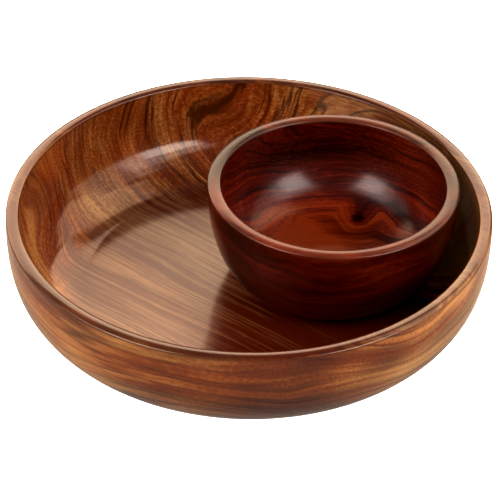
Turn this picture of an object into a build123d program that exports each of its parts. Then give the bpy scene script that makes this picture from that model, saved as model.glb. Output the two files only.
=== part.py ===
from build123d import *
import os
from math import cos, radians, sin

os.makedirs("parts", exist_ok=True)

# A chip and dip server: a wide turned serving bowl, with a smaller turned dip bowl standing
# loose on its floor, off to the +X side. Millimetres, +Z up.
# The origin is the middle of the serving bowl's foot, level with the table.

# Serving bowl
serving_diameter = 305.0  # at the top of the wall
serving_height = 75.0
serving_rim_width = 8.0
serving_floor_thickness = 10.5
serving_foot_ring_width = 12.0
serving_foot_hollow = 2.0  # how far the middle of the foot stands clear of the table

# Dip bowl
dip_diameter = 160.0
dip_height = 71.0
dip_rim_width = 8.5
dip_floor_thickness = 9.5
dip_floor_radius = 20.0  # of the flat part inside
dip_foot_radius = 48.0
dip_foot_ring_width = 8.0
dip_foot_hollow = 1.5

# Where the dip bowl stands
wall_gap = 9.0  # level clearance from its rim to the serving bowl's rim
seat_margin = 2.5  # flat floor left beyond its foot
foot_inset = 6.0  # the serving bowl's foot ends this far inside the flat floor

# Rims of both bowls: a crown between two small rounds
rim_edge_round = 1.0
rim_slope = 25.0  # of the crown where it meets the rounds, in degrees

# Curves of the walls
# A slope is the angle from level at which an outer wall leaves its foot, in degrees.
# The tuck is how far the serving bowl's walls lean inwards where they meet the rim, in degrees.
# A hold is how long a wall keeps its direction at one end. Low holds are shares of the wall's
# reach across the section, and high holds are shares of its height.
serving_slope = 12.0
serving_tuck = 3.0
serving_outer_low_hold = 0.91
serving_outer_high_hold = 0.57
serving_inner_low_hold = 0.30
serving_inner_high_hold = 0.84
dip_slope = 14.0
dip_outer_low_hold = 0.79
dip_outer_high_hold = 0.42
dip_inner_low_hold = 0.55
dip_inner_high_hold = 0.80

# Sizes that follow from those above
serving_radius = serving_diameter / 2
serving_inner_radius = serving_radius - serving_rim_width
dip_radius = dip_diameter / 2
dip_inner_radius = dip_radius - dip_rim_width
dip_offset = serving_inner_radius - wall_gap - dip_radius
serving_floor_radius = dip_offset + dip_foot_radius + seat_margin
serving_foot_radius = serving_floor_radius - foot_inset


def wall(low, slope, low_hold, high, tuck, high_hold):
    """A smooth curve in the section from low up to high, each given as (radius, height)."""
    low_pull = low_hold * (high[0] - low[0])
    high_pull = high_hold * (high[1] - low[1])
    leave = (low[0] + low_pull * cos(radians(slope)), low[1] + low_pull * sin(radians(slope)))
    reach = (high[0] + high_pull * sin(radians(tuck)), high[1] - high_pull * cos(radians(tuck)))
    return Bezier(low, leave, reach, high)


def wall_tops(height, rim_width, tuck):
    """Heights at which the outer and the inner wall end, so that the rim's crest is at height."""
    rise, run = sin(radians(rim_slope)), cos(radians(rim_slope))
    crown_width = rim_width - 2 * rim_edge_round * (cos(radians(tuck)) - rise)
    round_top = height - crown_width / 2 / rise * (1 - run)
    lean = rim_edge_round * sin(radians(tuck))
    return round_top - rim_edge_round * run + lean, round_top - rim_edge_round * run - lean


def turned(outer, inner, foot_radius, ring_width, hollow):
    """A bowl about the Z axis from its two wall curves, with a crowned rim and a hollowed foot."""
    floor_height = (inner @ 0).Y
    ring_inside = foot_radius - ring_width
    rise, run = sin(radians(rim_slope)), cos(radians(rim_slope))
    shoulder = JernArc(outer @ 1, outer % 1, rim_edge_round, (outer % 1).get_angle(Vector(-run, rise)))
    lip = JernArc(inner @ 1, inner % 1, rim_edge_round, -(inner % 1).get_angle(Vector(run, rise)))
    section = [
        Polyline((0, floor_height), (0, hollow), (ring_inside, hollow), (ring_inside, 0), (foot_radius, 0)),
        outer,
        shoulder,
        TangentArc(shoulder @ 1, lip @ 1, tangent=shoulder % 1),
        lip,
        inner,
        Line(inner @ 0, (0, floor_height)),
    ]
    return revolve(Plane.XZ * make_face(section), Axis.Z)


# Serving bowl
serving_outer_top, serving_inner_top = wall_tops(serving_height, serving_rim_width, serving_tuck)
serving_outer = wall(
    (serving_foot_radius, 0),
    serving_slope,
    serving_outer_low_hold,
    (serving_radius, serving_outer_top),
    serving_tuck,
    serving_outer_high_hold,
)
serving_inner = wall(
    (serving_floor_radius, serving_floor_thickness),
    0,
    serving_inner_low_hold,
    (serving_inner_radius, serving_inner_top),
    serving_tuck,
    serving_inner_high_hold,
)
serving_bowl = turned(
    serving_outer, serving_inner, serving_foot_radius, serving_foot_ring_width, serving_foot_hollow
)
export_step(serving_bowl, "parts/serving_bowl.step")

# Dip bowl, upright at the rim, with its foot flat on the serving bowl's floor
dip_outer_top, dip_inner_top = wall_tops(dip_height, dip_rim_width, 0)
dip_outer = wall(
    (dip_foot_radius, 0),
    dip_slope,
    dip_outer_low_hold,
    (dip_radius, dip_outer_top),
    0,
    dip_outer_high_hold,
)
dip_inner = wall(
    (dip_floor_radius, dip_floor_thickness),
    0,
    dip_inner_low_hold,
    (dip_inner_radius, dip_inner_top),
    0,
    dip_inner_high_hold,
)
dip_bowl = turned(dip_outer, dip_inner, dip_foot_radius, dip_foot_ring_width, dip_foot_hollow)
dip_bowl = Pos(dip_offset, 0, serving_floor_thickness) * dip_bowl
export_step(dip_bowl, "parts/dip_bowl.step")
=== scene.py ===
"""A chip and dip server of turned, lacquered rosewood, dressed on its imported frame.

Run as a script. Sizes are in metres, in the frame's own axes, and those of the grain in millimetres.
"""

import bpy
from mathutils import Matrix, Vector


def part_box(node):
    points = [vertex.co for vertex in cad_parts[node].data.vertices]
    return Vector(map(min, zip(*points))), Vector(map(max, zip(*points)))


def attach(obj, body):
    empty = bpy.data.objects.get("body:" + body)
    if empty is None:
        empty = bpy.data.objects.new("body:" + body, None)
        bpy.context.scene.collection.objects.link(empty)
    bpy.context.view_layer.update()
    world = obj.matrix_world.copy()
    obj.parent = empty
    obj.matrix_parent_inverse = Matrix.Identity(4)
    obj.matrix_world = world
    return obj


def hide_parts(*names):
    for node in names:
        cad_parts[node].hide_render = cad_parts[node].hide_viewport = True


bl_info = {
    "name": "Chip and Dip Server",
    "version": (1, 0, 0),
    "blender": (4, 5, 0),
    "location": "3D View > Sidebar > Server",
    "description": "Turns the two wooden bowls of a chip and dip server and sets the stage for them",
    "category": "Object",
}

from math import cos, pi, radians, sin, tan
from types import SimpleNamespace

import bpy
from bpy.props import FloatProperty, FloatVectorProperty, IntProperty, PointerProperty
from mathutils import Matrix, Vector

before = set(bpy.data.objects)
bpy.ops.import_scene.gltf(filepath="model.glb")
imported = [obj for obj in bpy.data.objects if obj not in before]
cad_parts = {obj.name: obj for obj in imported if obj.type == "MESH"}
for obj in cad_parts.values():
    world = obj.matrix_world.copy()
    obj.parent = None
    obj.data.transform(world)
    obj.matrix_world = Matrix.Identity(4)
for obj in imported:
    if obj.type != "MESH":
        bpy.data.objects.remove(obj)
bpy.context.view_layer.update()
SERVING_LOW, SERVING_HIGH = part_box("serving_bowl")
DIP_LOW, DIP_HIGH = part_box("dip_bowl")

SENSOR = 36.0  # width of the camera's sensor, in millimetres
CLIP_START, CLIP_END = 0.05, 20  # how near and how far the camera sees
MERGE_DISTANCE = 1e-6  # points of a mesh that are closer than this become one
SHARP_EDGE = radians(40)  # edges that turn further than this stay sharp
MILLIMETRES = 1000  # in a metre
NOISE_MIDDLE = 0.5  # noise runs from 0 to 1
INSIDE, OUTSIDE = 0, 1  # the two faces of a bowl's wall; the rim belongs to the outside


def linear(code):
    """An sRGB hex colour as linear red, green and blue."""
    parts = [int(code[i : i + 2], 16) / 255 for i in (0, 2, 4)]
    return [c / 12.92 if c <= 0.04045 else ((c + 0.055) / 1.055) ** 2.4 for c in parts]


def length(name, description, default):
    """A setting in metres."""
    return FloatProperty(name=name, description=description, default=default, unit="LENGTH", precision=4)


def angle(name, description, degrees):
    """A setting in degrees, kept in radians."""
    return FloatProperty(name=name, description=description, default=radians(degrees), subtype="ANGLE")


def share(name, description, default):
    """A setting from 0 to 1."""
    return FloatProperty(name=name, description=description, default=default, subtype="FACTOR")


def number(name, description, default):
    """A setting without a unit."""
    return FloatProperty(name=name, description=description, default=default, precision=4)


def steps(name, description, default):
    """A setting that counts the edges along a curve."""
    return IntProperty(name=name, description=description, default=default, min=3)


def colour(name, description, code):
    """A colour setting, from sRGB hex."""
    return FloatVectorProperty(
        name=name, description=description, default=linear(code), subtype="COLOR", min=0, max=1
    )


class ServingBowlSizes(bpy.types.PropertyGroup):
    """The serving bowl's section."""

    height: length("Height", "From the table to the top of the rim", SERVING_HIGH[2] - SERVING_LOW[2])
    rim_radius: length("Rim radius", "Outside radius at the top of the wall", 0.1525)
    rim_width: length("Rim width", "Thickness of the wall at the rim", 0.008)
    floor_thickness: length("Floor thickness", "From the table to the floor inside", DIP_LOW[2])
    floor_radius: length("Floor radius", "Radius of the flat floor inside", 0.106)
    foot_radius: length("Foot radius", "Outside radius of the foot", 0.1)
    ring_width: length("Foot ring width", "Width of the ring that the bowl stands on", 0.012)
    hollow: length("Foot hollow", "How far the middle of the foot stands clear", 0.002)
    slope: angle("Foot slope", "Angle from level at which the outside leaves the foot", 12)
    tuck: angle("Rim tuck", "How far the wall leans inwards at the rim", 3)
    outer_low_hold: share("Outer belly", "How long the outside keeps its slope above the foot", 0.91)
    outer_high_hold: share("Outer wall", "How long the outside keeps its lean below the rim", 0.57)
    inner_low_hold: share("Inner cove", "How long the floor keeps level before it turns up", 0.3)
    inner_high_hold: share("Inner wall", "How long the inside keeps its lean below the rim", 0.84)


class DipBowlSizes(bpy.types.PropertyGroup):
    """The dip bowl's section."""

    height: length("Height", "From the foot to the top of the rim", DIP_HIGH[2] - DIP_LOW[2])
    rim_radius: length("Rim radius", "Outside radius at the top of the wall", 0.08)
    rim_width: length("Rim width", "Thickness of the wall at the rim", 0.0085)
    floor_thickness: length("Floor thickness", "From the foot to the floor inside", 0.0095)
    floor_radius: length("Floor radius", "Radius of the flat floor inside", 0.02)
    foot_radius: length("Foot radius", "Outside radius of the foot", 0.048)
    ring_width: length("Foot ring width", "Width of the ring that the bowl stands on", 0.008)
    hollow: length("Foot hollow", "How far the middle of the foot stands clear", 0.0015)
    slope: angle("Foot slope", "Angle from level at which the outside leaves the foot", 14)
    tuck: angle("Rim tuck", "How far the wall leans inwards at the rim", 0)
    outer_low_hold: share("Outer belly", "How long the outside keeps its slope above the foot", 0.79)
    outer_high_hold: share("Outer wall", "How long the outside keeps its lean below the rim", 0.42)
    inner_low_hold: share("Inner cove", "How long the floor keeps level before it turns up", 0.55)
    inner_high_hold: share("Inner wall", "How long the inside keeps its lean below the rim", 0.8)


class ServingWood(bpy.types.PropertyGroup):
    """Colours and figure of the serving bowl's wood."""

    ink: colour("Ink", "Dark lines that some growth rings end with", "2c1006")
    shade: colour("Shade", "Darkest of the plain wood", "54220c")
    heart: colour("Heart", "Main colour of the heartwood", "7c441c")
    gold: colour("Gold", "Lighter bands", "9a6c3e")
    pale: colour("Pale", "Lightest bands", "b78a56")
    grain: angle("Grain", "Direction of the grain seen from above, from +X", -55)
    pith_aside: length("Pith aside", "How far to the side of the bowl's axis the pith lay", 0.26)
    pith_height: length("Pith height", "How far above the table the pith lay", 0.03)
    fork_aside: length("Fork aside", "How far to the side the pith of the outer rings lay", -0.05)
    fork_height: length("Fork height", "How far above the table the pith of the outer rings lay", -0.35)
    wander: length("Wander", "How far the grain strays from straight", 0.02)
    lacquer: share("Lacquer roughness", "How soft reflections in the lacquer are", 0.125)
    # The worn rim colour is partly wear and partly painted shade, darker where the rim's crown catches
    # light and sheen.
    worn_and_shaded: colour("Worn rim", "What handling has made of the rim", "442617")
    wear_and_shade: share("Wear", "How far handling has changed the rim", 0.7)
    floor_dark: colour("Floor", "Darker wood where the floor cuts the grain", "5c220a")
    # Floor lines are partly painted sheen: lighter tan lines that stand in for the lacquer shining more
    # along the grain.
    floor_line_and_sheen: colour("Floor lines", "Lighter lines where the floor cuts the grain", "9e7a54")
    floor_share: share("Floor share", "How far the floor differs from the walls", 1.0)
    floor_shade: share("Floor shade", "How much darker the wood is on the floor", 0.14)
    coat: share("Lacquer coat", "How much of a full coat of lacquer there is", 1.0)


class DipWood(bpy.types.PropertyGroup):
    """Colours and figure of the dip bowl's wood."""

    ink: colour("Ink", "Dark lines that some growth rings end with", "120302")
    shade: colour("Shade", "Darkest of the plain wood", "240602")
    heart: colour("Heart", "Main colour of the heartwood", "541609")
    gold: colour("Gold", "Lighter bands", "70280c")
    pale: colour("Pale", "Lightest bands", "8c4018")
    grain: angle("Grain", "Direction of the grain seen from above, from +X", -20)
    pith_aside: length("Pith aside", "How far to the side of the bowl's axis the pith lay", 0.03)
    pith_height: length("Pith height", "How far above the table the pith lay", -0.25)
    fork_aside: length("Fork aside", "How far to the side the pith of the outer rings lay", 0.02)
    fork_height: length("Fork height", "How far above the table the pith of the outer rings lay", -0.4)
    wander: length("Wander", "How far the grain strays from straight", 0.045)
    lacquer: share("Lacquer roughness", "How soft reflections in the lacquer are", 0.21)
    # The worn rim colour is partly wear and partly painted shade, darker where the rim's crown catches
    # light and sheen.
    worn_and_shaded: colour("Worn rim", "What handling has made of the rim", "5c3a2a")
    wear_and_shade: share("Wear", "How far handling has changed the rim", 0.65)
    floor_dark: colour("Floor", "Darker wood where the floor cuts the grain", "240602")
    # Floor lines are partly painted sheen: lighter tan lines that stand in for the lacquer shining more
    # along the grain.
    floor_line_and_sheen: colour("Floor lines", "Lighter lines where the floor cuts the grain", "70280c")
    floor_share: share("Floor share", "How far the floor differs from the walls", 0.0)
    floor_shade: share("Floor shade", "How much darker the wood is on the floor", 0.0)
    coat: share("Lacquer coat", "How much of a full coat of lacquer there is", 0.8)


class StageSettings(bpy.types.PropertyGroup):
    """The camera, the light and the picture."""

    azimuth: angle("Azimuth", "Where the camera stands round the object, 0 looking along +Y", -16.85)
    elevation: angle("Elevation", "How far the camera looks down", 36.8)
    roll: angle("Roll", "How far the camera leans to its left", 0.908)
    distance: length("Distance", "From the camera to the point it looks at", 1.2165)
    aim_side: length("Aim to the side", "How far right of the axis the camera looks", 0.0009)
    aim_height: length("Aim height", "How far above the table the camera looks", 0.0381)
    lens: FloatProperty(
        name="Lens", description="Focal length in millimetres", default=136.8, unit="CAMERA"
    )
    floor_side: length("Floor side", "Along each side of the floor", 8.0)
    table_drop: length("Table drop", "How far below the floor the table lies that the bowls see", 0.001)
    paper: colour("Paper", "The floor that the camera sees", "f4f3f1")
    table: colour("Table", "The table that the bowls see", "aeada9")
    wall: colour("Wall", "Warm white of the lit wall behind", "ffead0")
    lamps: colour("Lamps", "White of the lamps in front and beside", "fffbf6")
    glow: number("Glow", "Strength of the light that comes up through the floor", 0.5)
    sky: number("Sky", "Strength of the even light from all round", 0.06)
    exposure: number("Exposure", "Brightness of the picture, in stops", 1.26)
    gamma: number("Gamma", "Contrast of the picture, stronger below 1", 0.7)
    blacks: number("Blacks", "Brightness that the picture shows as black", 0.003)


class ServerSettings(bpy.types.PropertyGroup):
    """All the settings of the chip and dip server."""

    rim_edge_round: length("Rim edge round", "Radius of both edges of a rim", 0.001)
    rim_slope: angle("Rim slope", "Slope of a rim's crown where it meets the rounds", 25)
    curve_steps: steps("Curve steps", "Edges along each curve of a section", 28)
    turn_steps: steps("Turn steps", "Edges round each bowl", 224)
    serving: PointerProperty(type=ServingBowlSizes)
    dip: PointerProperty(type=DipBowlSizes)
    serving_wood: PointerProperty(type=ServingWood)
    dip_wood: PointerProperty(type=DipWood)
    stage: PointerProperty(type=StageSettings)


# Turning a bowl


def bowl_section(sizes, edge_round, rim_slope):
    """Bezier knots of a bowl's section, from the axis under the foot to the axis above the floor.

    Each knot is (point, handle before, handle after), as (radius, height). None is a straight side.
    """
    lean = Vector((-sin(sizes.tuck), cos(sizes.tuck)))  # up along the wall at the rim
    climb = Vector((-cos(rim_slope), sin(rim_slope)))  # over the rim's outer round, onto the crown
    dive = Vector((-cos(rim_slope), -sin(rim_slope)))  # off the crown, over its inner round
    inner_radius = sizes.rim_radius - sizes.rim_width
    ring_inside = sizes.foot_radius - sizes.ring_width

    round_width = edge_round * (cos(sizes.tuck) - sin(rim_slope))
    crown_radius = (sizes.rim_width / 2 - round_width) / sin(rim_slope)
    round_top = sizes.height - crown_radius * (1 - cos(rim_slope))
    wall_top = round_top - edge_round * cos(rim_slope)

    foot = Vector((sizes.foot_radius, 0))
    outer_top = Vector((sizes.rim_radius, wall_top + edge_round * sin(sizes.tuck)))
    shoulder = Vector((sizes.rim_radius - round_width, round_top))
    lip = Vector((inner_radius + round_width, round_top))
    inner_top = Vector((inner_radius, wall_top - edge_round * sin(sizes.tuck)))
    floor_edge = Vector((sizes.floor_radius, sizes.floor_thickness))

    rise = Vector((cos(sizes.slope), sin(sizes.slope)))
    outer_low = foot + rise * sizes.outer_low_hold * (outer_top - foot).x
    outer_high = outer_top - lean * sizes.outer_high_hold * (outer_top - foot).y
    inner_low = floor_edge + Vector((1, 0)) * sizes.inner_low_hold * (inner_top - floor_edge).x
    inner_high = inner_top - lean * sizes.inner_high_hold * (inner_top - floor_edge).y

    def pull(radius, turn):
        """Length of the handles with which a curve follows a round."""
        return radius * 4 / 3 * tan(turn / 4)

    shoulder_pull = pull(edge_round, pi / 2 - sizes.tuck - rim_slope)
    crown_pull = pull(crown_radius, 2 * rim_slope)
    lip_pull = pull(edge_round, pi / 2 + sizes.tuck - rim_slope)

    return [
        (Vector((0, sizes.hollow)), None, None),
        (Vector((ring_inside, sizes.hollow)), None, None),
        (Vector((ring_inside, 0)), None, None),
        (foot, None, outer_low),
        (outer_top, outer_high, outer_top + lean * shoulder_pull),
        (shoulder, shoulder - climb * shoulder_pull, shoulder + climb * crown_pull),
        (lip, lip - dive * crown_pull, lip + dive * lip_pull),
        (inner_top, inner_top + lean * lip_pull, inner_high),
        (floor_edge, inner_low, None),
        (Vector((0, sizes.floor_thickness)), None, None),
    ]


def turn_bowl(name, knots, centre, curve_steps, turn_steps):
    """Draws a section as a curve and spins it about the upright line through centre."""
    bpy.ops.object.select_all(action="DESELECT")
    bpy.ops.curve.primitive_bezier_curve_add(location=(0, 0, 0))
    bowl = bpy.context.active_object
    bowl.name = bowl.data.name = name
    bowl.data.dimensions = "3D"
    spline = bowl.data.splines[0]
    spline.resolution_u = curve_steps
    spline.bezier_points.add(len(knots) - len(spline.bezier_points))
    for point, (spot, before, after) in zip(spline.bezier_points, knots):
        point.handle_left_type = "FREE" if before else "VECTOR"
        point.handle_right_type = "FREE" if after else "VECTOR"
        place = [centre + Vector((p.x, 0, p.y)) for p in (spot, before or spot, after or spot)]
        point.co, point.handle_left, point.handle_right = place
    bpy.ops.object.convert(target="MESH")
    bpy.ops.object.mode_set(mode="EDIT")
    bpy.ops.mesh.select_all(action="SELECT")
    bpy.ops.mesh.spin(steps=turn_steps, angle=2 * pi, center=centre, axis=(0, 0, 1))
    bpy.ops.mesh.select_all(action="SELECT")
    bpy.ops.mesh.remove_doubles(threshold=MERGE_DISTANCE)
    bpy.ops.mesh.normals_make_consistent(inside=False)
    bpy.ops.object.mode_set(mode="OBJECT")
    bpy.ops.object.shade_smooth_by_angle(angle=SHARP_EDGE)
    return bowl


# Materials


def add(tree, kind, inputs=None, stops=None, **settings):
    """Adds a node with its settings. An input is a value, or an output to link from. Stops are a ramp's."""
    made = tree.nodes.new(kind)
    for name, value in settings.items():
        setattr(made, name, value)
    for key, value in (inputs or {}).items():
        if isinstance(value, bpy.types.NodeSocket):
            tree.links.new(value, made.inputs[key])
        else:
            made.inputs[key].default_value = value
    for place, (position, shade) in enumerate(stops or ()):
        ramp = made.color_ramp.elements  # a new ramp has two
        stop = ramp[place] if place < 2 else ramp.new(position)
        stop.position = position
        stop.color = (*shade, 1)
    return made


# What differs between the two faces of a bowl's wall, as (inside, outside)
FACE_TRAITS = {
    "ring_spread": (1.0, 0.55),  # outside, the rings are cut at a flat angle, which spreads them
    "fibre": (0.5, 0.2),  # how far fibres show
    "darkest": (0.54, 0.50),  # sum of the layers that gives the darkest tone
    "palest": (1.06, 0.80),  # and the palest: closer together outside, where the contrast is stronger
    "top_tone": (1.0, 0.88),  # how pale the palest is
    "vivid": (0.7, 0.35),  # how strong redder streaks are, and dark lines inside
    "ink_width": (0.035, 0.06),  # of dark lines, in the noise that they are drawn from
}
CROWN_START, CROWN_FULL = 0.003, 0.0015  # how far below a rim's top its crown begins and is full
OUTWARD = 0.1  # a face that points outwards by more than this is outside
FLOOR_START, FLOOR_FULL = 0.9, 0.99  # how far a face points up where the floor begins and is full
FLOOR_VIVID = 0.2  # how strong redder streaks and dark lines are on a floor
OUTSIDE_INK = 0.55  # how strong dark lines are outside
FAINT_INK = 0.1  # how strong they are where they fade
REDDER = (1.0, 0.66, 0.42, 1)  # what redder streaks leave of red, green and blue
FIBRE_RELIEF = 0.0002  # how deep the fibres are
WOOD_GRAIN, FILM_GRAIN = 0.3, 0.12  # how far they show on the wood, and on the lacquer over it


def bowl_faces(tree, place, wood, centre, rim_height):
    """Outputs that tell a bowl's faces apart, and the traits that differ between them.

    The radius is the distance from the bowl's axis. Level is how far a face points up. Crown, floor
    and outside are masks of the rim's top, of the floor, and of the outer wall with the rim.
    """
    radial = add(
        tree, "ShaderNodeVectorMath", {0: place, 1: centre}, operation="SUBTRACT"
    ).outputs["Vector"]
    radial = add(
        tree, "ShaderNodeVectorMath", {0: radial, 1: (1, 1, 0)}, operation="MULTIPLY"
    ).outputs["Vector"]
    radius = add(tree, "ShaderNodeVectorMath", {0: radial}, operation="LENGTH").outputs["Value"]
    facing = add(tree, "ShaderNodeTexCoord").outputs["Normal"]
    level = add(tree, "ShaderNodeSeparateXYZ", {"Vector": facing}).outputs["Z"]
    height = add(tree, "ShaderNodeSeparateXYZ", {"Vector": place}).outputs["Z"]
    crown = add(
        tree,
        "ShaderNodeMapRange",
        {"Value": height, "From Min": rim_height - CROWN_START, "From Max": rim_height - CROWN_FULL},
    ).outputs["Result"]
    floor = add(
        tree,
        "ShaderNodeMapRange",
        {"Value": level, "From Min": FLOOR_START, "From Max": FLOOR_FULL, "To Max": wood.floor_share},
    ).outputs["Result"]
    outward = add(tree, "ShaderNodeVectorMath", {0: radial}, operation="NORMALIZE").outputs["Vector"]
    outward = add(
        tree, "ShaderNodeVectorMath", {0: facing, 1: outward}, operation="DOT_PRODUCT"
    ).outputs["Value"]
    outward = add(tree, "ShaderNodeMath", {0: outward, 1: crown}, operation="ADD").outputs["Value"]
    outside = add(
        tree, "ShaderNodeMath", {0: outward, 1: OUTWARD}, operation="GREATER_THAN"
    ).outputs["Value"]
    traits = {
        trait: add(
            tree, "ShaderNodeMapRange", {"Value": outside, "To Min": within, "To Max": without}
        ).outputs["Result"]
        for trait, (within, without) in FACE_TRAITS.items()
    }
    return SimpleNamespace(radius=radius, level=level, crown=crown, floor=floor, outside=outside, **traits)


def stray_grain(tree, log, wood):
    """An output of places in the log, moved as the grain strays from straight."""
    # Each stray is (millimetres along the grain, across it, share of the wander).
    bent = log
    for run, width, reach in ((170, 60, 1.0), (60, 18, 0.12), (18, 5, 0.03)):
        scale = [MILLIMETRES / size for size in (run, width, width)]
        sized = add(tree, "ShaderNodeMapping", {"Vector": log, "Scale": scale}).outputs["Vector"]
        drift = add(
            tree, "ShaderNodeTexNoise", {"Vector": sized, "Scale": 1.0, "Detail": 1.0}
        ).outputs["Color"]
        drift = add(
            tree, "ShaderNodeVectorMath", {0: drift, 1: [NOISE_MIDDLE] * 3}, operation="SUBTRACT"
        ).outputs["Vector"]
        bent = add(
            tree,
            "ShaderNodeVectorMath",
            {0: drift, 1: (0, wood.wander * reach, wood.wander * reach), 2: bent},
            operation="MULTIPLY_ADD",
        ).outputs["Vector"]
    return bent


def growth_rings(tree, place, faces, wood, swells):
    """Outputs of places in the log, in metres: straight, as the grain strays, and by growth ring.

    The rings lie about the pith, a level line that ran beside the bowl. On the floor they show as
    straight lines, on walls across the grain as upright ones, and on walls along it as ovals.
    """
    # In the log, X runs along the grain and the pith is the X axis.
    log = add(
        tree,
        "ShaderNodeMapping",
        {
            "Vector": place,
            "Rotation": (0, 0, -wood.grain),
            "Location": (0, -wood.pith_aside, -wood.pith_height),
        },
    ).outputs["Vector"]
    bent = stray_grain(tree, log, wood)

    # The block was cut at a fork: rings inside the bowl lie about one pith, and outside about another.
    fork = (0, wood.pith_aside - wood.fork_aside, wood.pith_height - wood.fork_height)
    moved = add(
        tree, "ShaderNodeVectorMath", {0: faces.outside, 1: fork, 2: bent}, operation="MULTIPLY_ADD"
    ).outputs["Vector"]
    across = add(
        tree, "ShaderNodeVectorMath", {0: moved, 1: (0, 1, 1)}, operation="MULTIPLY"
    ).outputs["Vector"]
    ring = add(tree, "ShaderNodeVectorMath", {0: across}, operation="LENGTH").outputs["Value"]
    for spot, reach, bulge, face in swells:
        away = add(tree, "ShaderNodeVectorMath", {0: place, 1: spot}, operation="DISTANCE").outputs["Value"]
        rise = add(
            tree,
            "ShaderNodeMapRange",
            {"Value": away, "From Min": 0.0, "From Max": reach, "To Min": bulge, "To Max": 0.0},
            interpolation_type="SMOOTHERSTEP",
        ).outputs["Result"]
        here = add(
            tree, "ShaderNodeMath", {0: faces.outside, 1: face}, operation="COMPARE"
        ).outputs["Value"]
        ring = add(
            tree, "ShaderNodeMath", {0: rise, 1: here, 2: ring}, operation="MULTIPLY_ADD"
        ).outputs["Value"]
    ring = add(
        tree, "ShaderNodeMath", {0: ring, 1: faces.ring_spread}, operation="MULTIPLY"
    ).outputs["Value"]
    parts = add(tree, "ShaderNodeSeparateXYZ", {"Vector": bent}).outputs
    rings = add(
        tree, "ShaderNodeCombineXYZ", {"X": parts["X"], "Y": ring, "Z": parts["Z"]}
    ).outputs["Vector"]
    return log, bent, rings


def wood_layers(tree, log, bent, rings):
    """Outputs of the noise that each layer of the figure is drawn from."""
    # Each layer is (space, millimetres along the grain, across the rings, round them, detail).
    # Pores and fibres are really 0.2 mm wide, and are drawn wider to show.
    layers = {
        "band": (rings, 140, 12, 90, 3),
        "line": (rings, 160, 2.4, 60, 3),
        "ink": (rings, 260, 11, 150, 2.5),
        "fibre": (bent, 34, 1.5, 1.5, 3),
        "pore": (bent, 7, 0.9, 0.9, 0),
        "patch": (log, 150, 70, 70, 1),
        "blush": (rings, 220, 45, 70, 2),
    }
    grain = {}
    for layer, (space, *sizes, detail) in layers.items():
        scale = [MILLIMETRES / size for size in sizes]
        sized = add(tree, "ShaderNodeMapping", {"Vector": space, "Scale": scale}).outputs["Vector"]
        grain[layer] = add(
            tree, "ShaderNodeTexNoise", {"Vector": sized, "Scale": 1.0, "Detail": detail, "Roughness": 0.62}
        ).outputs["Fac"]
    return grain


def wood_tone(tree, place, faces, grain, wood, stains_and_shade):
    """An output of how pale the wood is, with painted light and shade, where 0 is darkest and 1 palest."""
    # Lines are crisp where a level face cuts along the grain, and a little softer outside.
    crisp = add(
        tree,
        "ShaderNodeMapRange",
        {"Value": faces.level, "From Min": 0.5, "From Max": 0.95, "To Min": 0.4, "To Max": 0.85},
    ).outputs["Result"]
    crisp = add(
        tree, "ShaderNodeMath", {0: faces.outside, 1: -0.1, 2: crisp}, operation="MULTIPLY_ADD"
    ).outputs["Value"]
    tone = add(
        tree, "ShaderNodeMath", {0: grain["line"], 1: NOISE_MIDDLE}, operation="SUBTRACT"
    ).outputs["Value"]
    tone = add(tree, "ShaderNodeMath", {0: tone, 1: crisp}, operation="MULTIPLY").outputs["Value"]
    weights = (
        (faces.floor, -wood.floor_shade),
        (grain["band"], 0.6),
        (grain["fibre"], faces.fibre),
        (grain["patch"], 0.5),
    )
    for layer, weight in weights:
        tone = add(
            tree, "ShaderNodeMath", {0: layer, 1: weight, 2: tone}, operation="MULTIPLY_ADD"
        ).outputs["Value"]
    tone = add(
        tree,
        "ShaderNodeMapRange",
        {"Value": tone, "From Min": faces.darkest, "From Max": faces.palest, "To Max": faces.top_tone},
    ).outputs["Result"]

    # Stains and painted light and shade fade out along the bands, which gives them ragged edges.
    for spot, reach, shift, face in stains_and_shade:
        away = add(tree, "ShaderNodeVectorMath", {0: place, 1: spot}, operation="DISTANCE").outputs["Value"]
        away = add(
            tree, "ShaderNodeMath", {0: grain["band"], 1: -reach, 2: away}, operation="MULTIPLY_ADD"
        ).outputs["Value"]
        fade = {"From Min": -0.4 * reach, "From Max": 0.6 * reach, "To Min": shift, "To Max": 0.0}
        near = add(
            tree, "ShaderNodeMapRange", {"Value": away, **fade}, interpolation_type="SMOOTHSTEP"
        ).outputs["Result"]
        here = add(
            tree, "ShaderNodeMath", {0: faces.outside, 1: face}, operation="COMPARE"
        ).outputs["Value"]
        tone = add(
            tree, "ShaderNodeMath", {0: near, 1: here, 2: tone}, operation="MULTIPLY_ADD"
        ).outputs["Value"]
    return tone


def ink_lines(tree, faces, grain, vivid):
    """An output of how far dark lines cover the wood, strong in some patches and faint in others."""
    # The lines follow the middle of their noise.
    away = add(
        tree, "ShaderNodeMath", {0: grain["ink"], 1: NOISE_MIDDLE}, operation="SUBTRACT"
    ).outputs["Value"]
    away = add(tree, "ShaderNodeMath", {0: away}, operation="ABSOLUTE").outputs["Value"]
    bold = add(
        tree, "ShaderNodeMapRange", {"Value": faces.outside, "To Min": vivid, "To Max": OUTSIDE_INK}
    ).outputs["Result"]
    bold = add(
        tree,
        "ShaderNodeMapRange",
        {"Value": grain["patch"], "From Min": 0.42, "From Max": 0.6, "To Min": bold, "To Max": FAINT_INK},
    ).outputs["Result"]
    return add(
        tree,
        "ShaderNodeMapRange",
        {"Value": away, "From Min": 0.0, "From Max": faces.ink_width, "To Min": bold, "To Max": 0.0},
        interpolation_type="SMOOTHSTEP",
    ).outputs["Result"]


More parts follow.
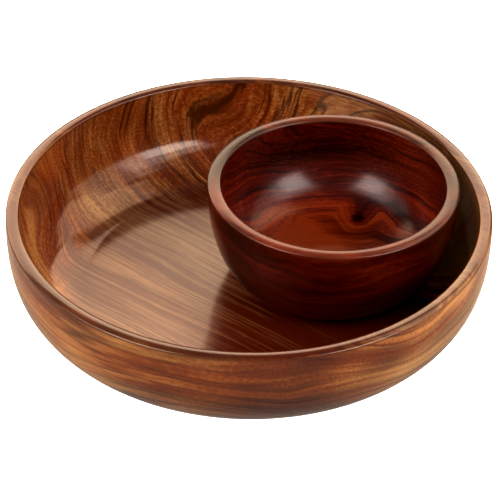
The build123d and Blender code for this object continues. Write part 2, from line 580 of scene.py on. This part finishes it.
def wood_colour(tree, tone, faces, grain, wood):
    """An output of the wood's colour: its tone, redder streaks, the rim's wear and painted shade, dark
    lines and pores.
    """
    shades = add(
        tree,
        "ShaderNodeValToRGB",
        {"Fac": tone},
        [(0.0, wood.shade), (1.0, wood.pale), (0.42, wood.heart), (0.7, wood.gold)],
    ).outputs["Color"]
    # A floor that cuts along the grain has plainer colours, and its lighter lines are partly painted sheen,
    # where the lacquer shines more along the grain.
    plain_and_sheen = add(
        tree,
        "ShaderNodeMix",
        {"Factor": tone, "A": (*wood.floor_dark, 1), "B": (*wood.floor_line_and_sheen, 1)},
        data_type="RGBA",
    ).outputs["Result"]
    shades = add(
        tree, "ShaderNodeMix", {"Factor": faces.floor, "A": shades, "B": plain_and_sheen}, data_type="RGBA"
    ).outputs["Result"]

    # Streaks of redder wood
    vivid = add(
        tree, "ShaderNodeMapRange", {"Value": faces.floor, "To Min": faces.vivid, "To Max": FLOOR_VIVID}
    ).outputs["Result"]
    blush = add(
        tree,
        "ShaderNodeMapRange",
        {"Value": grain["blush"], "From Min": 0.42, "From Max": 0.6, "To Max": vivid},
        interpolation_type="SMOOTHSTEP",
    ).outputs["Result"]
    shades = add(
        tree,
        "ShaderNodeMix",
        {"Factor": blush, "A": shades, "B": REDDER},
        data_type="RGBA",
        blend_type="MULTIPLY",
    ).outputs["Result"]

    # The rim's crown is darker, some bands more than others: partly wear from handling, partly painted
    # shade that dims the light and sheen that the crown catches.
    worn_and_shaded = {"From Min": 0.36, "From Max": 0.6, "To Min": 0.3 * wood.wear_and_shade, "To Max": wood.wear_and_shade}
    wear_and_shade = add(tree, "ShaderNodeMapRange", {"Value": grain["band"], **worn_and_shaded}).outputs["Result"]
    wear_and_shade = add(tree, "ShaderNodeMath", {0: faces.crown, 1: wear_and_shade}, operation="MULTIPLY").outputs["Value"]

    line = ink_lines(tree, faces, grain, vivid)
    pore = add(
        tree,
        "ShaderNodeMapRange",
        {"Value": grain["pore"], "From Min": 0.62, "From Max": 0.76, "To Max": 0.22},
        interpolation_type="SMOOTHSTEP",
    ).outputs["Result"]
    for cover, shade in ((wear_and_shade, wood.worn_and_shaded), (line, wood.ink), (pore, wood.ink)):
        shades = add(
            tree, "ShaderNodeMix", {"Factor": cover, "A": shades, "B": (*shade, 1)}, data_type="RGBA"
        ).outputs["Result"]
    return shades


def lacquer_relief(tree, faces, grain, dish):
    """Outputs of the normals of the wood and of the lacquer over it, which nearly levels the fibres."""
    # Only faces that point up are dished. Each step bends the normal that the one before it gave.
    inside = add(tree, "ShaderNodeMapRange", {"Value": faces.level, "From Max": 0.1}).outputs["Result"]
    dished = {}
    for start, end, lift in dish:
        rise = add(
            tree,
            "ShaderNodeMapRange",
            {"Value": faces.radius, "From Min": start, "From Max": end, "To Max": lift},
            interpolation_type="SMOOTHSTEP",
        ).outputs["Result"]
        step = {"Height": rise, "Strength": inside, "Distance": 1.0}
        dished = {"Normal": add(tree, "ShaderNodeBump", {**step, **dished}).outputs["Normal"]}
    fibres = {"Height": grain["fibre"], "Distance": FIBRE_RELIEF, **dished}
    return [
        add(tree, "ShaderNodeBump", {"Strength": strength, **fibres}).outputs["Normal"]
        for strength in (WOOD_GRAIN, FILM_GRAIN)
    ]


def lacquered_rosewood(name, wood, swells, stains_and_shade, dish, centre, rim_height):
    """Rosewood, turned on a lathe, sanded and lacquered: brown to gold streaks under a soft gloss, with
    some painted light, shade and sheen.
    """
    material = bpy.data.materials.new(name)
    material.use_nodes = True
    tree = material.node_tree
    tree.nodes.clear()
    place = add(tree, "ShaderNodeTexCoord").outputs["Object"]
    faces = bowl_faces(tree, place, wood, centre, rim_height)
    grain = wood_layers(tree, *growth_rings(tree, place, faces, wood, swells))
    tone = wood_tone(tree, place, faces, grain, wood, stains_and_shade)
    bump, film = lacquer_relief(tree, faces, grain, dish)
    rough = add(
        tree, "ShaderNodeMapRange", {"Value": grain["fibre"], "To Min": 0.4, "To Max": 0.55}
    ).outputs["Result"]
    surface = add(
        tree,
        "ShaderNodeBsdfPrincipled",
        {
            "Base Color": wood_colour(tree, tone, faces, grain, wood),
            "Roughness": rough,
            "IOR": 1.45,
            "Specular IOR Level": 0.15,
            "Coat Weight": wood.coat,
            "Coat Roughness": wood.lacquer,
            "Coat IOR": 1.5,
            "Normal": bump,
            "Coat Normal": film,
        },
    ).outputs["BSDF"]
    add(tree, "ShaderNodeOutputMaterial", {"Surface": surface})
    return material


def light_table(shade, glow):
    """A light table: matte white, lit from below if it glows, so that shadows stay faint."""
    material = bpy.data.materials.new("Light table, matte white")
    material.use_nodes = True
    tree = material.node_tree
    tree.nodes.clear()
    surface = add(
        tree,
        "ShaderNodeBsdfPrincipled",
        {
            "Base Color": (*shade, 1),
            "Roughness": 0.9,
            "Specular IOR Level": 0.1,
            "Emission Color": (*shade, 1),
            "Emission Strength": glow,
        },
    ).outputs["BSDF"]
    add(tree, "ShaderNodeOutputMaterial", {"Surface": surface})
    return material


# Figure of each bowl's wood, with places in the frame's axes
# Swells are where the rings bulge round a hidden branch: (place, reach, bulge, face of the wall).
# Stains and painted light and shade are where the wood is paler or darker, some from its figure and some
# painted where the lamps and the other bowl leave it lit or shaded: (place, reach, shift of tone, face of
# the wall).
# A dish is the soft turn of the inside about the bowl's axis, which is only in the shading, because
# the floor itself is flat: steps of (from radius, to radius, rise).
SERVING_SWELLS = [
    ((0.038, 0.139, 0.060), 0.055, 0.022, INSIDE),  # oval eye on the back wall
    ((-0.118, 0.080, 0.040), 0.045, 0.02, INSIDE),  # bend on the left wall
    ((-0.075, -0.120, -0.020), 0.11, -0.05, OUTSIDE),  # lines arch outside, left of the front
    ((0.064, -0.138, 0.130), 0.12, 0.08, OUTSIDE),  # and sag, right of the front
]
SERVING_STAINS_AND_SHADE = [
    ((0.038, 0.139, 0.060), 0.045, 0.16, INSIDE),  # paler eye on the back wall
    ((-0.005, 0.142, 0.050), 0.04, 0.22, INSIDE),  # swirl beside it
    ((-0.070, 0.126, 0.054), 0.04, -0.02, INSIDE),  # dark upright lines on the back wall
    # Partly painted light: besides amber streaks, this lifts the wall where the dip bowl's shadow falls.
    ((0.080, 0.120, 0.065), 0.05, 0.12, INSIDE),  # amber streaks on the other side of the eye
    ((-0.147, 0.022, 0.074), 0.022, -0.4, OUTSIDE),  # dark streaks across the rim on the left
    # Partly painted light and shade: the outside is paler where the side lamps light it, and browner in
    # front, where little light falls.
    ((-0.140, -0.060, 0.050), 0.1, 0.36, OUTSIDE),  # pale gold outside on the left
    ((0.095, -0.118, 0.045), 0.09, 0.4, OUTSIDE),  # and outside on the right
    ((-0.010, -0.152, 0.050), 0.08, -0.05, OUTSIDE),  # browner outside in front
    # Painted light: the wall beside the dip bowl is lifted where that bowl's shadow falls.
    ((0.136, -0.016, 0.031), 0.06, 0.9, INSIDE),  # paler wall beside the dip bowl
    ((-0.120, 0.075, 0.045), 0.08, -0.02, INSIDE),  # red-brown wall on the left
    ((-0.065, 0.010, 0.010), 0.1, 0.08, INSIDE),  # golden floor on the left
    # Painted shadow and reflection: the floor is darkened where the dip bowl shades it and shows in the
    # lacquer.
    ((0.045, -0.080, 0.010), 0.12, -0.55, INSIDE),  # dark floor in front of the dip bowl
]
SERVING_DISH = [(0.056, 0.122, 0.0042), (0.118, 0.144, -0.0028), (0.130, 0.1445, -0.0026)]
DIP_SWELLS = [((0.086, 0.033, 0.024), 0.02, 0.009, INSIDE)]  # round the knot
DIP_STAINS_AND_SHADE = [
    # Partly painted light: the orange figure also brightens the floor where light falls into the bowl.
    ((0.060, 0.015, 0.020), 0.055, 0.65, INSIDE),  # orange figure on the floor
    ((0.040, 0.025, 0.020), 0.03, 0.3, INSIDE),  # and to the left of its middle
    ((0.080, 0.020, 0.020), 0.022, -0.3, INSIDE),  # dark swirl beside the knot
    # Painted shade: the back wall, which faces the front where little light falls, and the rim above it,
    # which catches sheen, are darkened.
    ((0.076, 0.071, 0.070), 0.055, -0.35, INSIDE),  # darker back wall
    ((0.078, 0.072, 0.081), 0.05, -0.4, OUTSIDE),  # darker rim above it
    ((0.123, 0.011, 0.055), 0.04, 0.3, INSIDE),  # redder wall on the right
    ((0.086, 0.033, 0.024), 0.006, -0.9, INSIDE),  # knot
    # Painted shade: the front of the outside, which little light reaches, is darkened.
    ((0.050, -0.075, 0.035), 0.09, -0.1, OUTSIDE),  # darker outside in front
]
DIP_DISH = [(0, 0.03, 0.0012), (0.03, 0.07, -0.006)]


class SERVER_OT_serving_bowl(bpy.types.Operator):
    """Turns the wide serving bowl and gives it its wood"""

    bl_idname = "server.serving_bowl"
    bl_label = "Turn serving bowl"

    def execute(self, context):
        settings = context.scene.server
        knots = bowl_section(settings.serving, settings.rim_edge_round, settings.rim_slope)
        foot = Vector((0, 0, 0))
        bowl = turn_bowl("serving_bowl_turned", knots, foot, settings.curve_steps, settings.turn_steps)
        wood = lacquered_rosewood(
            "Rosewood, turned and lacquered",
            settings.serving_wood,
            SERVING_SWELLS,
            SERVING_STAINS_AND_SHADE,
            SERVING_DISH,
            foot,
            SERVING_HIGH[2],
        )
        bowl.data.materials.append(wood)
        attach(bowl, "serving_bowl")
        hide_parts("serving_bowl")
        return {"FINISHED"}


class SERVER_OT_dip_bowl(bpy.types.Operator):
    """Turns the smaller dip bowl and gives it its wood"""

    bl_idname = "server.dip_bowl"
    bl_label = "Turn dip bowl"

    def execute(self, context):
        settings = context.scene.server
        knots = bowl_section(settings.dip, settings.rim_edge_round, settings.rim_slope)
        foot = Vector(((DIP_LOW[0] + DIP_HIGH[0]) / 2, (DIP_LOW[1] + DIP_HIGH[1]) / 2, DIP_LOW[2]))
        bowl = turn_bowl("dip_bowl_turned", knots, foot, settings.curve_steps, settings.turn_steps)
        wood = lacquered_rosewood(
            "Dark rosewood, turned and lacquered",
            settings.dip_wood,
            DIP_SWELLS,
            DIP_STAINS_AND_SHADE,
            DIP_DISH,
            foot,
            DIP_HIGH[2],
        )
        bowl.data.materials.append(wood)
        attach(bowl, "dip_bowl")
        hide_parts("dip_bowl")
        return {"FINISHED"}


# Stage


def level_directions(stage):
    """Level directions to the right and ahead, as the camera sees them."""
    right = Vector((cos(stage.azimuth), sin(stage.azimuth), 0))
    ahead = Vector((-sin(stage.azimuth), cos(stage.azimuth), 0))
    return right, ahead


def set_view(scene, stage):
    """Gives the picture its brightness, strong contrast and deep blacks."""
    view = scene.view_settings
    view.view_transform = "Standard"
    view.exposure = stage.exposure
    view.gamma = stage.gamma
    view.use_curve_mapping = True
    view.curve_mapping.black_level = [stage.blacks] * 3


def lay_floor(context, stage):
    """Lays a glowing floor that only the camera sees, and below it a table that only the bowls see."""
    sheets = [("floor", 0, stage.paper, stage.glow), ("table", -stage.table_drop, stage.table, 0)]
    for name, height, shade, glow in sheets:
        bpy.ops.mesh.primitive_plane_add(size=stage.floor_side, location=(0, 0, height))
        sheet = context.active_object
        sheet.name = sheet.data.name = name
        sheet.data.materials.append(light_table(shade, glow))
        sheet.visible_camera = name == "floor"
        sheet.visible_diffuse = sheet.visible_glossy = sheet.visible_shadow = name == "table"


def hang_lamps(context, stage):
    """Hangs soft lamps that face the bowls: a lit wall behind, and pairs in front and beside."""
    right, ahead = level_directions(stage)
    # Each lamp is (name, colour, place, width, height, watts). Its place is right, ahead and up.
    lamps = [
        ("backdrop", stage.wall, (-0.3, 1.75, 1.09), 3.4, 1.28, 28),
        ("backdrop_right", stage.wall, (1.35, 0.98, 1.73), 1.04, 1.65, 7.8),
    ]
    # Each pair is (name, place of the right one, width, height, watts).
    pairs = [
        ("softbox", (1.06, -0.69, 0.85), 1.05, 1.6, 8.1),
        ("core", (0.95, -0.82, 0.85), 0.7, 0.9, 5.1),
        ("side", (1.34, 0.1, 1.0), 0.8, 1.15, 2),
    ]
    for name, (aside, forward, rise), *rest in pairs:
        for side, sign in (("left", -1), ("right", 1)):
            lamps.append((f"{name}_{side}", stage.lamps, (sign * aside, forward, rise), *rest))
    for name, shade, (aside, forward, rise), width, tall, watts in lamps:
        spot = right * aside + ahead * forward + Vector((0, 0, rise))
        bpy.ops.object.light_add(type="AREA", location=spot)
        lamp = context.active_object
        lamp.name = lamp.data.name = name
        lamp.data.shape = "RECTANGLE"
        lamp.data.size, lamp.data.size_y = width, tall
        lamp.data.energy = watts
        lamp.data.color = shade
        lamp.rotation_euler = (-spot).to_track_quat("-Z", "Y").to_euler()
        lamp.visible_camera = False


def light_sky(scene, stage):
    """Adds a little even light from all round."""
    scene.world = bpy.data.worlds.new("Studio")
    scene.world.use_nodes = True
    sky = scene.world.node_tree.nodes["Background"]
    sky.inputs["Color"].default_value = (1, 1, 1, 1)
    sky.inputs["Strength"].default_value = stage.sky


def aim_camera(context, stage):
    """Stands the camera in front, above the bowls and a little rolled."""
    right, ahead = level_directions(stage)
    back = -ahead * cos(stage.elevation) + Vector((0, 0, sin(stage.elevation)))
    up = back.cross(right)
    turned_right = right * cos(stage.roll) + up * sin(stage.roll)
    turned_up = up * cos(stage.roll) - right * sin(stage.roll)
    aim = right * stage.aim_side + Vector((0, 0, stage.aim_height))
    axes = Matrix((turned_right, turned_up, back)).transposed()
    bpy.ops.object.camera_add(location=aim + back * stage.distance, rotation=axes.to_euler())
    camera = context.active_object
    camera.data.lens = stage.lens
    camera.data.sensor_width = SENSOR
    camera.data.clip_start, camera.data.clip_end = CLIP_START, CLIP_END
    context.scene.camera = camera


class SERVER_OT_stage(bpy.types.Operator):
    """Lays the pale floor, hangs the soft lights and sets up the camera"""

    bl_idname = "server.stage"
    bl_label = "Set the stage"

    def execute(self, context):
        stage = context.scene.server.stage
        bpy.ops.object.select_all(action="DESELECT")
        set_view(context.scene, stage)
        lay_floor(context, stage)
        hang_lamps(context, stage)
        light_sky(context.scene, stage)
        aim_camera(context, stage)
        return {"FINISHED"}


class SERVER_PT_panel(bpy.types.Panel):
    """Lists the operators of the chip and dip server"""

    bl_idname = "SERVER_PT_panel"
    bl_label = "Chip and dip server"
    bl_space_type = "VIEW_3D"
    bl_region_type = "UI"
    bl_category = "Server"

    def draw(self, context):
        for made in OPERATORS:
            self.layout.operator(made.bl_idname)


OPERATORS = (SERVER_OT_serving_bowl, SERVER_OT_dip_bowl, SERVER_OT_stage)
CLASSES = (
    ServingBowlSizes,
    DipBowlSizes,
    ServingWood,
    DipWood,
    StageSettings,
    ServerSettings,
    *OPERATORS,
    SERVER_PT_panel,
)


def register():
    for made in CLASSES:
        bpy.utils.register_class(made)
    bpy.types.Scene.server = PointerProperty(type=ServerSettings)


def unregister():
    del bpy.types.Scene.server
    for made in reversed(CLASSES):
        bpy.utils.unregister_class(made)


def main():
    register()
    bpy.ops.server.serving_bowl()
    bpy.ops.server.dip_bowl()
    bpy.ops.server.stage()


if __name__ == "__main__":
    main()
